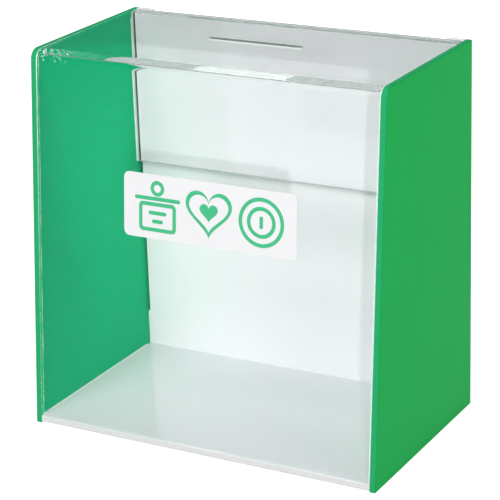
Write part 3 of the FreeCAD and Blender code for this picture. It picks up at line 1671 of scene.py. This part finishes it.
@dataclass(frozen=True)
class SoftLamp:
    """Round soft lamp that points at the box, hidden from gloss and clear sheet unless it is shown."""

    name: str
    azimuth_deg: float
    elevation_deg: float
    distance: float
    size: float
    share: float
    shown: bool = False

    def build(self, target: Vector) -> bpy.types.Object:
        """Places the lamp.

        Args:
            target: Point that it aims at.

        Returns:
            The lamp.
        """
        data = bpy.data.lights.new(self.name, "AREA")
        data.shape = "DISK"
        data.size = self.size
        data.energy = self.share * (math.pi * self.distance) ** 2
        lamp = new_object(self.name, data)
        away = away_from_box(self.azimuth_deg, self.elevation_deg)
        aim(lamp, target + away * self.distance, -away)
        lamp.visible_camera = False
        lamp.visible_glossy = self.shown
        lamp.visible_transmission = self.shown
        return lamp


@dataclass
class Studio:
    """Pale floor, even sky and soft lamps."""

    floor_finish: Material
    floor_half: float = 8.0
    floor_depth: float = 0.02
    sky_strength: float = 0.2
    mirrored_wall: float = 0.1
    seen_wall: float = 0.12
    wall_fade: Span = (0.55, 0.85)
    light_bounces: int = 96
    lamps: tuple[SoftLamp, ...] = (
        SoftLamp("key_lamp", 30.0, 12.0, distance=3.0, size=0.04, share=0.18),
        SoftLamp("front_lamp", 2.0, 18.5, distance=3.0, size=0.7, share=0.24),
        SoftLamp("top_lamp", -3.0, 45.0, distance=2.6, size=1.8, share=0.605, shown=True),
        SoftLamp("side_lamp", 82.0, 34.0, distance=2.6, size=1.4, share=0.37, shown=True),
        SoftLamp("back_lamp", 195.0, 20.0, distance=2.6, size=1.4, share=0.5),
    )

    def build(self) -> None:
        """Builds the floor, the sky and the lamps."""
        self.floor()
        self.sky()
        low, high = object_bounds()
        for lamp in self.lamps:
            lamp.build((low + high) / 2)
        self.let_light_run()

    def floor(self) -> bpy.types.Object:
        """Lays the floor.

        Returns:
            The floor.
        """
        half = self.floor_half
        outline = [(-half, -half), (half, -half), (half, half), (-half, half)]
        mesh = swept_mesh("studio_floor", outline, along_z, -self.floor_depth, 0.0)
        floor = new_object("studio_floor", mesh)
        floor.data.materials.append(self.floor_finish)
        floor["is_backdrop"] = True
        return floor

    def sky(self) -> None:
        """Lights the scene evenly, with walls below a white ceiling for gloss and clear sheet to show."""
        world = bpy.data.worlds.new("studio_sky")
        bpy.context.scene.world = world
        world.use_nodes = True
        graph = NodeGraph(world.node_tree)
        path = graph.add("ShaderNodeLightPath")
        up = graph.add("ShaderNodeSeparateXYZ", Vector=graph.coordinates("Generated")).outputs["Z"]
        mirrored = graph.ramp(up, self.wall_fade, self.mirrored_wall, 1.0)
        seen = graph.ramp(up, self.wall_fade, self.seen_wall, 1.0)
        strength = graph.blend(path.outputs["Is Glossy Ray"], self.sky_strength, mirrored)
        strength = graph.blend(path.outputs["Is Transmission Ray"], strength, seen)
        strength = graph.blend(path.outputs["Is Camera Ray"], strength, 1.0)
        background = graph.add("ShaderNodeBackground", Color=WHITE, Strength=strength)
        graph.add("ShaderNodeOutputWorld", Surface=background.outputs[0])

    def let_light_run(self) -> None:
        """Lets light run on inside the clear sheets, which carry it from edge to edge."""
        rays = bpy.context.scene.cycles
        rays.max_bounces = self.light_bounces
        rays.glossy_bounces = self.light_bounces
        rays.transmission_bounces = self.light_bounces
        rays.transparent_max_bounces = self.light_bounces


def main() -> None:
    """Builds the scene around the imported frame."""
    logging.basicConfig(level=logging.INFO, format="%(name)s: %(message)s")
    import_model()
    layout = Layout.from_frame()

    white = WHITE_UPRIGHT.material()
    clear = ClearFinish().material()
    edges = {EdgeLook(finish.name): finish.material() for finish in CUT_EDGES}
    SidePanels(layout, GREEN_SHEET.material()).build()
    ClearCover(layout, clear, edges).build()
    WhiteSheets(layout, WHITE_FLAT.material(), white).build()
    ClearRearPanel(clear, edges).build()
    LiftOutDoor(WHITE_DOOR.material(), white).build()
    FrontLabel(layout, LABEL_FILM.material(), LABEL_INK.material()).build()
    GlueLines(layout, GlueFinish().material()).build()

    Studio(FloorFinish().material()).build()
    PhotoCamera().build()
    bpy.context.scene.view_settings.view_transform = "Standard"


if __name__ == "__main__":
    main()
